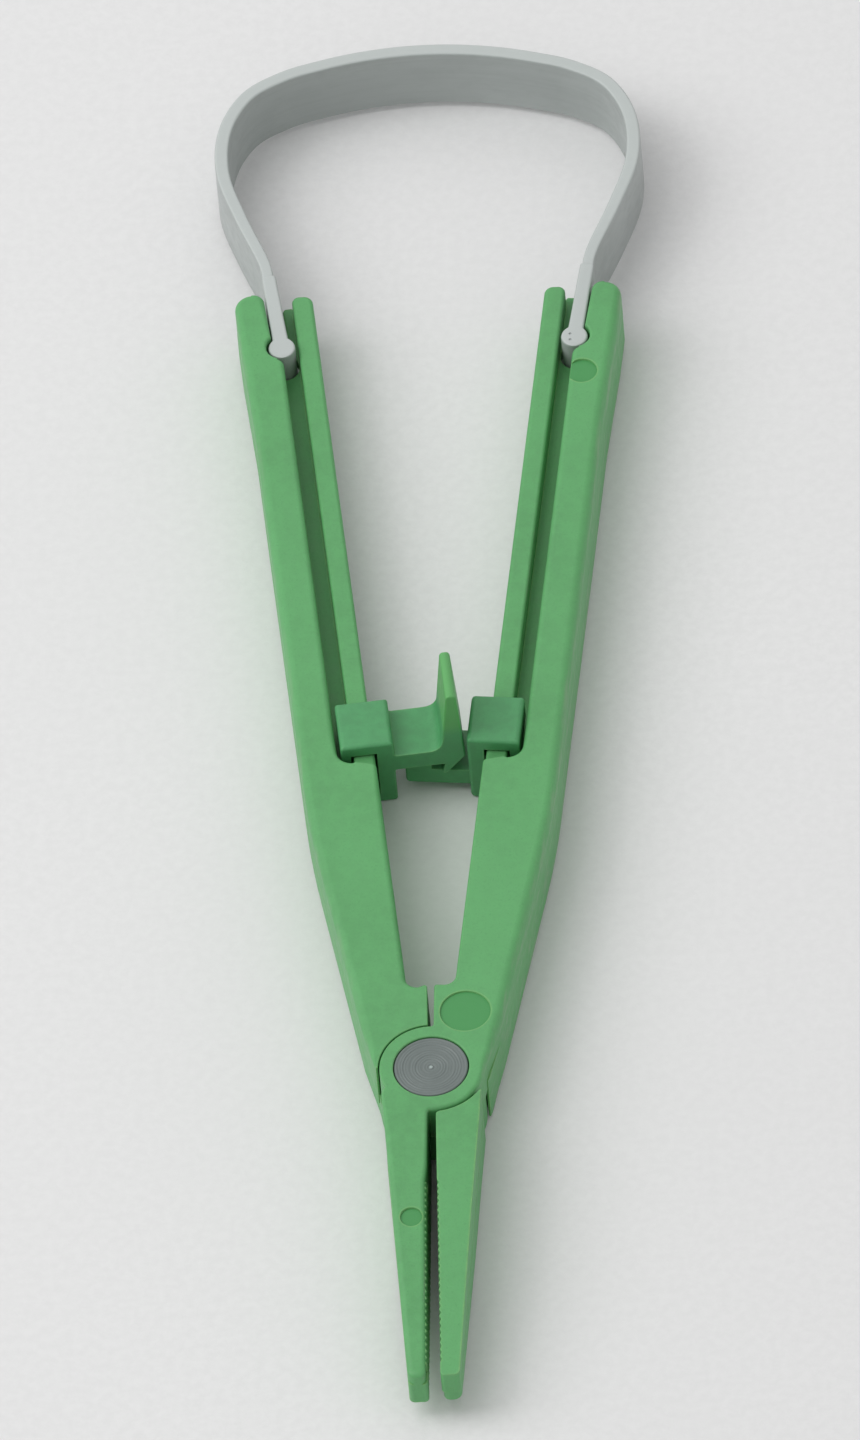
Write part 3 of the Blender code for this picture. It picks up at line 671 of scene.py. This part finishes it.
def pawl_profile():
    """Clip section with the lever's plate, fin and hook, as distances from the clip's wall."""
    x0 = CLIP_WALL_IN
    top, low = 9.45, 6.45                        # faces of the flexing plate
    bends = (0.9, 1.5, 2.1, 2.7, 3.3, 4.2)       # places where the plate can bend smoothly
    foot_at, foot_z, foot_r = 5.1, 11.4, 1.92    # rounded inner corner at the fin's foot
    fin_back, fin_front, fin_top = 8.05, 9.45, 21.25
    hook_corner, hook_tip, hook_back = (10.2, 7.85), 4.42, 7.15
    face = [(x0, top + 0.35, 0.0), (x0 - 0.1, top + 0.1, 0.0), (x0 - 0.35, top, 0.0)]
    face += [(x0 - d, top, 0.0) for d in bends]
    face += [(x0 - foot_at - foot_r * math.sin(math.radians(a)),
              foot_z - foot_r * math.cos(math.radians(a)), 0.0) for a in range(0, 86, 12)]
    face += [(x0 - fin_back, fin_top, 0.95), (x0 - fin_front, fin_top, 0.95),
             (x0 - hook_corner[0], hook_corner[1], 0.35), (x0 - 7.35, hook_tip, 0.25),
             (x0 - 6.75, hook_tip, 0.25), (x0 - hook_back, low, 0.15)]
    face += [(x0 - d, low, 0.0) for d in reversed(bends)]
    face += [(x0 - 0.3, low, 0.0), (x0 - 0.08, low - 0.08, 0.0), (x0, low - 0.3, 0.0)]
    return clip_profile(face)


def rack_plate():
    """Plate with one catch, set back from the clip's front face and fused into its wall."""
    x0 = CLIP_WALL_IN
    low, flat, catch, foot = 1.3, 4.4, 6.0, 4.55
    catch_from, catch_to, end = x0 - 5.45, x0 - 5.75, x0 - 9.3
    section = [(x0 + 1.0, low, 0.0), (x0 + 1.0, flat, 0.0), (catch_from, flat, 0.1),
               (catch_from, catch, 0.3), (catch_to, catch, 0.4), (end, foot, 0.5), (end, low, 0.9)]
    half = CLIP_LENGTH / 2
    return clip_block("rack_plate", section, False, -half + RACK_SET_BACK, half - 0.1)


def make_clips():
    """Pawl on the left rail and rack on the right one, modelled along +Y and then placed."""
    half = CLIP_LENGTH / 2
    pawl = clip_block("latch_pawl", pawl_profile(), True, -half, half)
    rack = clip_block("latch_rack", clip_profile([]), False, -half, half)
    settle(rack, [modify(rack, rack_plate(), "UNION")])
    for clip, side in ((pawl, -1), (rack, 1)):
        smooth(clip, 35)
        x, y = on_arm(CLIP_AT, 0.0)
        clip.matrix_world = (Matrix.Translation((side * x * MM, y * MM, 0))
                             @ Matrix.Rotation(-side * TILT, 4, "Z"))
    return pawl, rack


# ---- materials ------------------------------------------------------------------------------
class Shader:
    """Small helper that builds a Principled material out of noise, masks and mixes."""

    def __init__(self, name, roughness):
        self.material = bpy.data.materials.new(name)
        self.material.use_nodes = True
        self.tree = self.material.node_tree
        self.bsdf = self.tree.nodes["Principled BSDF"]
        self.bsdf.inputs["Roughness"].default_value = roughness
        self.coords = self.tree.nodes.new("ShaderNodeTexCoord")
        self.heights = []

    def node(self, kind, **values):
        node = self.tree.nodes.new(kind)
        for key, value in values.items():
            setattr(node, key, value)
        return node

    def link(self, source, target):
        self.tree.links.new(source, target)

    def stretched(self, scale, turn=0.0, shift=(0.0, 0.0, 0.0)):
        mapping = self.node("ShaderNodeMapping")
        mapping.inputs["Scale"].default_value = scale
        mapping.inputs["Rotation"].default_value = (0.0, 0.0, turn)
        mapping.inputs["Location"].default_value = shift
        self.link(self.coords.outputs["Object"], mapping.inputs["Vector"])
        return mapping.outputs["Vector"]

    def noise(self, vector, detail=2.0, roughness=0.5):
        noise = self.node("ShaderNodeTexNoise")
        noise.inputs["Scale"].default_value = 1.0
        noise.inputs["Detail"].default_value = detail
        noise.inputs["Roughness"].default_value = roughness
        self.link(vector, noise.inputs["Vector"])
        return noise.outputs["Fac"]

    def ranged(self, value, low, high, out_low=0.0, out_high=1.0):
        node = self.node("ShaderNodeMapRange", clamp=True)
        node.interpolation_type = "SMOOTHSTEP"
        for key, number in zip(("From Min", "From Max", "To Min", "To Max"),
                               (low, high, out_low, out_high)):
            node.inputs[key].default_value = number
        self.link(value, node.inputs["Value"])
        return node.outputs["Result"]

    def maths(self, operation, a, b=None):
        node = self.node("ShaderNodeMath", operation=operation)
        for socket, value in zip(node.inputs, (a, b)):
            if value is None:
                continue
            if isinstance(value, (int, float)):
                socket.default_value = value
            else:
                self.link(value, socket)
        return node.outputs["Value"]

    def mix(self, factor, a, b):
        node = self.node("ShaderNodeMix", data_type="RGBA")
        self.link(factor, node.inputs["Factor"])
        for socket, value in ((node.inputs[6], a), (node.inputs[7], b)):
            if isinstance(value, tuple):
                socket.default_value = (*value, 1.0)
            else:
                self.link(value, socket)
        return node.outputs[2]

    def colour(self, value):
        self.link(value, self.bsdf.inputs["Base Color"])

    def gloss(self, value):
        self.link(value, self.bsdf.inputs["Roughness"])

    def bump(self, height, distance, strength=1.0):
        node = self.node("ShaderNodeBump")
        node.inputs["Distance"].default_value = distance * MM
        node.inputs["Strength"].default_value = strength
        self.link(height, node.inputs["Height"])
        if self.heights:
            self.link(self.heights[-1], node.inputs["Normal"])
        self.heights.append(node.outputs["Normal"])
        self.link(node.outputs["Normal"], self.bsdf.inputs["Normal"])

    def glow(self, weight, radius, depth):
        """Light that soaks in and comes out again nearby, to a depth in millimetres."""
        self.bsdf.inputs["Subsurface Weight"].default_value = weight
        self.bsdf.inputs["Subsurface Radius"].default_value = radius
        self.bsdf.inputs["Subsurface Scale"].default_value = depth * MM

    def facing(self, axis):
        """How far the surface faces an axis of the piece, from -1 to 1."""
        node = self.node("ShaderNodeVectorMath", operation="DOT_PRODUCT")
        self.link(self.coords.outputs["Normal"], node.inputs[0])
        node.inputs[1].default_value = axis
        return node.outputs["Value"]

    def spot(self, place, radius, soft):
        """Mask of a round area about a place in the piece's plan, in millimetres."""
        shift = self.node("ShaderNodeVectorMath", operation="SUBTRACT")
        self.link(self.coords.outputs["Object"], shift.inputs[0])
        shift.inputs[1].default_value = (place[0] * MM, place[1] * MM, 0.0)
        flat = self.node("ShaderNodeVectorMath", operation="MULTIPLY")
        self.link(shift.outputs["Vector"], flat.inputs[0])
        flat.inputs[1].default_value = (1.0, 1.0, 0.0)
        length = self.node("ShaderNodeVectorMath", operation="LENGTH")
        self.link(flat.outputs["Vector"], length.inputs[0])
        return self.ranged(length.outputs["Value"], (radius + soft) * MM, (radius - soft) * MM)

    def edges(self, radius):
        """Mask that is near 1 along rounded or sharp convex edges."""
        bevel = self.node("ShaderNodeBevel", samples=6)
        bevel.inputs["Radius"].default_value = radius * MM
        geometry = self.node("ShaderNodeNewGeometry")
        dot = self.node("ShaderNodeVectorMath", operation="DOT_PRODUCT")
        self.link(bevel.outputs["Normal"], dot.inputs[0])
        self.link(geometry.outputs["Normal"], dot.inputs[1])
        return self.ranged(dot.outputs["Value"], 0.995, 0.80)


def scaled(colour, factor):
    return tuple(min(1.0, c * factor) for c in colour)


def by_channel(colour, factors):
    return tuple(c * f for c, f in zip(colour, factors))


def paint_fin_glow(s, body, base):
    """Painted glow of light through the thin plastic of the fin above the clip's top."""
    height = s.node("ShaderNodeSeparateXYZ")
    s.link(s.coords.outputs["Object"], height.inputs[0])
    return s.mix(s.ranged(height.outputs["Z"], 0.0124, 0.0150, 0.0, 0.8), body,
                 by_channel(base, (1.5, 1.25, 0.95)))


def tint_marks(s, body, base, pale_highlight):
    """Painted shade in the recessed discs where the ejector pins stood, and thin lighter rims that
    are partly scuffing and partly painted highlight.
    """
    up = s.ranged(s.facing((0.0, 0.0, 1.0)), 0.6, 0.9)
    for place, radius, _, _ in MARKS:
        disc = s.maths("MULTIPLY", up, s.spot(place, radius, 0.05))
        rim = s.maths("MULTIPLY", up, s.spot(place, radius + 0.22, 0.06))
        # Rim: partly scuffing, partly painted highlight.
        body = s.mix(s.maths("MULTIPLY", rim, 0.22), body, pale_highlight)
        # Painted shade over the recessed disc.
        body = s.mix(disc, body, by_channel(base, (0.62, 0.84, 0.70)))
    return body


def green_plastic(name, base, turn, shift, sheen_and_wear, roughness=0.46, fin=False):
    """Moulded green plastic: soft blotches, a fine grain, a painted highlight along the edges and a
    grey-green on the outer sides, partly painted sheen and partly streaky scuffing.
    """
    s = Shader(name, roughness)
    blotch = s.noise(s.stretched((55, 40, 55), turn, shift), 3.0)
    mottle = s.noise(s.stretched((620, 620, 620), turn, shift), 3.0, 0.6)
    grain = s.noise(s.stretched((3300, 3300, 3300), turn, shift), 2.0)
    body = s.mix(s.ranged(blotch, 0.35, 0.68), scaled(base, 0.93), scaled(base, 1.06))
    body = s.mix(s.ranged(mottle, 0.30, 0.72, 0.0, 0.55), body, scaled(base, 1.16))
    body = s.mix(s.ranged(grain, 0.52, 0.78, 0.0, 0.5), body, scaled(base, 0.84))
    # Lighter green for the painted highlight along convex edges, patchy with the mottle; also used
    # for the mark rims.
    pale_highlight = (base[0] * 1.7 + 0.04, base[1] * 1.15 + 0.04, base[2] * 1.15 + 0.015)
    edge_highlight = s.maths("MULTIPLY", s.edges(0.55), s.ranged(mottle, 0.25, 0.7, 0.35, 0.9))
    body = s.mix(edge_highlight, body, pale_highlight)
    # Outer sides: grey-green that is partly painted sheen and partly streaky scuffing; the streaks
    # also bump the surface.
    streaks = s.noise(s.stretched((900, 26, 900), turn, shift), 4.0, 0.65)
    sides = s.ranged(s.facing((math.cos(TILT), -math.sin(TILT), 0.0)), 0.45, 0.85, 0.0, sheen_and_wear)
    sheen_scuffs = s.maths("MULTIPLY", sides, s.ranged(streaks, 0.46, 0.68))
    body = s.mix(sheen_scuffs, body, SIDE_SHEEN_SCUFF)
    s.colour(paint_fin_glow(s, body, base) if fin else tint_marks(s, body, base, pale_highlight))
    s.gloss(s.ranged(mottle, 0.2, 0.8, roughness - 0.06, roughness + 0.10))
    s.bump(grain, 0.012)
    s.bump(mottle, 0.02)
    s.bump(streaks, 0.02, sheen_and_wear)
    s.glow(0.12, (0.6, 1.0, 0.5), 1.2)
    s.bsdf.inputs["IOR"].default_value = 1.47
    return s.material


def turned_plastic(name, base):
    """Grey plastic with fine turning rings about the pivot's axis, a painted highlight round the
    rim and a lighter nub that is partly painted highlight.
    """
    s = Shader(name, 0.42)
    rings = s.node("ShaderNodeTexWave", wave_type="RINGS", rings_direction="Z", wave_profile="SIN")
    rings.inputs["Scale"].default_value = 720.0
    rings.inputs["Distortion"].default_value = 2.6
    rings.inputs["Detail"].default_value = 3.0
    rings.inputs["Detail Scale"].default_value = 0.6
    s.link(s.coords.outputs["Object"], rings.inputs["Vector"])
    blotch = s.noise(s.stretched((420, 420, 420)), 3.0)
    fine = s.noise(s.stretched((4000, 4000, 4000)), 2.0)
    body = s.mix(s.ranged(rings.outputs["Fac"], 0.1, 0.9, 0.0, 0.7),
                 scaled(base, 0.90), scaled(base, 1.10))
    body = s.mix(s.ranged(blotch, 0.4, 0.75, 0.0, 0.5), body, scaled(base, 0.88))
    # Painted highlight along the head's rounded rim.
    body = s.mix(s.edges(0.3), body, scaled(base, 1.35))
    # Centre nub: partly its own lighter colour, partly a painted highlight.
    body = s.mix(s.spot((0.0, 0.0), 0.26, 0.08), body, scaled(base, 2.2))
    s.colour(body)
    s.gloss(s.ranged(blotch, 0.2, 0.8, 0.34, 0.50))
    s.bump(rings.outputs["Fac"], 0.03)
    s.bump(fine, 0.006)
    return s.material


def strap_plastic(name, base):
    """Pale grey springy plastic with fine marks from the mould, painted lighter on its top and with
    a painted highlight along its edges.
    """
    s = Shader(name, 0.38)
    blotch = s.noise(s.stretched((45, 45, 90)), 3.0)
    mottle = s.noise(s.stretched((500, 500, 700)), 3.0)
    lines = s.noise(s.stretched((40, 40, 1500)), 4.0, 0.7)
    grain = s.noise(s.stretched((3000, 3000, 3000)), 2.0)
    # Mask of the upward faces, for the painted light on the strap's top.
    top = s.ranged(s.facing((0, 0, 1)), 0.35, 0.9)
    body = s.mix(s.ranged(blotch, 0.35, 0.7), scaled(base, 0.95), scaled(base, 1.05))
    body = s.mix(s.ranged(mottle, 0.45, 0.75, 0.0, 0.4), body, scaled(base, 0.90))
    body = s.mix(s.ranged(lines, 0.42, 0.68, 0.0, 0.4), body, scaled(base, 0.86))
    body = s.mix(s.maths("MULTIPLY", top, 0.75), body, scaled(base, 1.36))
    # Painted highlight along the strap's edges.
    body = s.mix(s.maths("MULTIPLY", s.edges(0.4), 0.5), body, scaled(base, 1.35))
    s.colour(body)
    s.gloss(s.ranged(mottle, 0.2, 0.8, 0.33, 0.47))
    s.bump(lines, 0.03)
    s.bump(grain, 0.005)
    s.glow(0.15, (1.0, 1.0, 0.95), 1.5)
    return s.material


def paper(name):
    """Plain off-white paper with faint fibres."""
    s = Shader(name, 0.9)
    fibre = s.noise(s.stretched((700, 700, 700)), 5.0, 0.65)
    cloud = s.noise(s.stretched((9, 9, 9)), 2.0)
    body = s.mix(s.ranged(fibre, 0.3, 0.7), (0.775, 0.775, 0.775), (0.815, 0.815, 0.815))
    body = s.mix(s.ranged(cloud, 0.3, 0.7, 0.0, 0.35), body, (0.77, 0.77, 0.77))
    s.colour(body)
    s.bump(fibre, 0.05)
    return s.material


def clothe(obj, material):
    """Give an object its only material, and return the object."""
    obj.data.materials.clear()
    obj.data.materials.append(material)
    return obj


def clothe_own(obj, material):
    """Give one object its material even where two objects share a mesh."""
    if not obj.data.materials:
        obj.data.materials.append(None)
    obj.material_slots[0].link = "OBJECT"
    obj.material_slots[0].material = material


# ---- surroundings ---------------------------------------------------------------------------
def make_floor():
    """Pale paper just below the clips, which reach lowest."""
    half_size, cells, clearance = 1.6, 24, 0.00002
    bm = bmesh.new()
    bmesh.ops.create_grid(bm, x_segments=cells, y_segments=cells, size=half_size)
    floor = add_object("floor", bm)
    floor.location = (0.0, 0.07, CLIP_LOW * MM - clearance)
    clothe(floor, paper("paper"))


def add_light(name, place, target, power):
    data = bpy.data.lights.new(name, "AREA")
    data.shape = "DISK"
    data.size = LIGHT_SIZE
    data.energy = power
    light = bpy.data.objects.new(name, data)
    bpy.context.scene.collection.objects.link(light)
    light.location = place
    light.rotation_euler = (Vector(target) - Vector(place)).to_track_quat("-Z", "Y").to_euler()


def make_lights():
    """Even white sky and soft disc lights, mostly from the left as in the photograph."""
    world = bpy.data.worlds.new("studio")
    bpy.context.scene.world = world
    world.use_nodes = True
    background = world.node_tree.nodes["Background"]
    background.inputs["Color"].default_value = (1.0, 1.0, 1.0, 1.0)
    background.inputs["Strength"].default_value = SKY_STRENGTH
    target = (0.0, 0.06, 0.0)
    for name, heading, height, power in LIGHTS:
        rise = math.radians(height)
        x, y = polar(LIGHT_DISTANCE * math.cos(rise), heading, target[:2])
        add_light(name, (x, y, LIGHT_DISTANCE * math.sin(rise)), target, power)


def make_camera():
    """Camera at the photograph's angle, far enough away for its nearly parallel view."""
    elevation, azimuth, roll = math.radians(50.5), math.radians(3.9), math.radians(5.3)
    across = Vector((math.cos(azimuth), math.sin(azimuth), 0.0))
    forward = Vector((-math.sin(azimuth), math.cos(azimuth), 0.0))
    up = forward * math.sin(elevation) + Vector((0, 0, math.cos(elevation)))
    right = across * math.cos(roll) - up * math.sin(roll)
    above = across * math.sin(roll) + up * math.cos(roll)
    back = right.cross(above)
    distance, frame_height = 5.0, 0.2043        # metres; height of the view at the tool
    aim_right, aim_up = -0.85, 56.6             # from the pivot to the picture's middle
    data = bpy.data.cameras.new("photo_view")
    data.sensor_fit = "VERTICAL"
    data.sensor_height = 24.0
    data.lens = data.sensor_height * distance / frame_height
    data.clip_end = 20.0
    camera = bpy.data.objects.new("photo_view", data)
    bpy.context.scene.collection.objects.link(camera)
    place = right * (aim_right * MM) + above * (aim_up * MM) + back * distance
    basis = Matrix((right, above, back)).transposed().to_4x4()
    camera.matrix_world = Matrix.Translation(place) @ basis
    bpy.context.scene.camera = camera


# ---- assembly -------------------------------------------------------------------------------


def place_arms():
    right, left = make_arms()
    clothe_own(right, green_plastic("green_right", GREEN, TILT, (0, 0, 0), 0.55))
    clothe_own(left, green_plastic("green_left", GREEN, TILT, (3.1, 1.7, 0.4), 0.35))
    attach(right, "right_side")
    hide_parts("right_arm")
    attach(left, "left_side")
    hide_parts("left_arm")


def place_pivot():
    stud, cap = make_pivot()
    grey = turned_plastic("grey_turned", STUD_GREY)
    for piece, node in ((stud, "pivot_stud"), (cap, "pivot_cap")):
        clothe(piece, grey)
        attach(piece, "right_side")
        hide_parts(node)


def place_strap():
    strap = clothe(make_strap(), strap_plastic("pale_strap", STRAP_GREY))
    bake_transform(strap)
    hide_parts("loop_spring")


def place_clips():
    """Both clips; the pawl's plate has closely set rows beside its wall, where it could bend."""
    pawl, rack = make_clips()
    clip_green = green_plastic("green_clips", CLIP_GREEN, 0.0, (1.3, 0.2, 0.9), 0.0, 0.40, True)
    clothe(pawl, clip_green)
    clothe(rack, clip_green)
    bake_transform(pawl)
    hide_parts("pawl_clip", "pawl_lever")
    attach(rack, "rack_slider")
    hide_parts("rack_clip")


def main():
    bpy.context.scene.view_settings.view_transform = "Standard"
    make_camera()
    make_lights()
    make_floor()
    place_arms()
    place_pivot()
    place_strap()
    place_clips()


main()
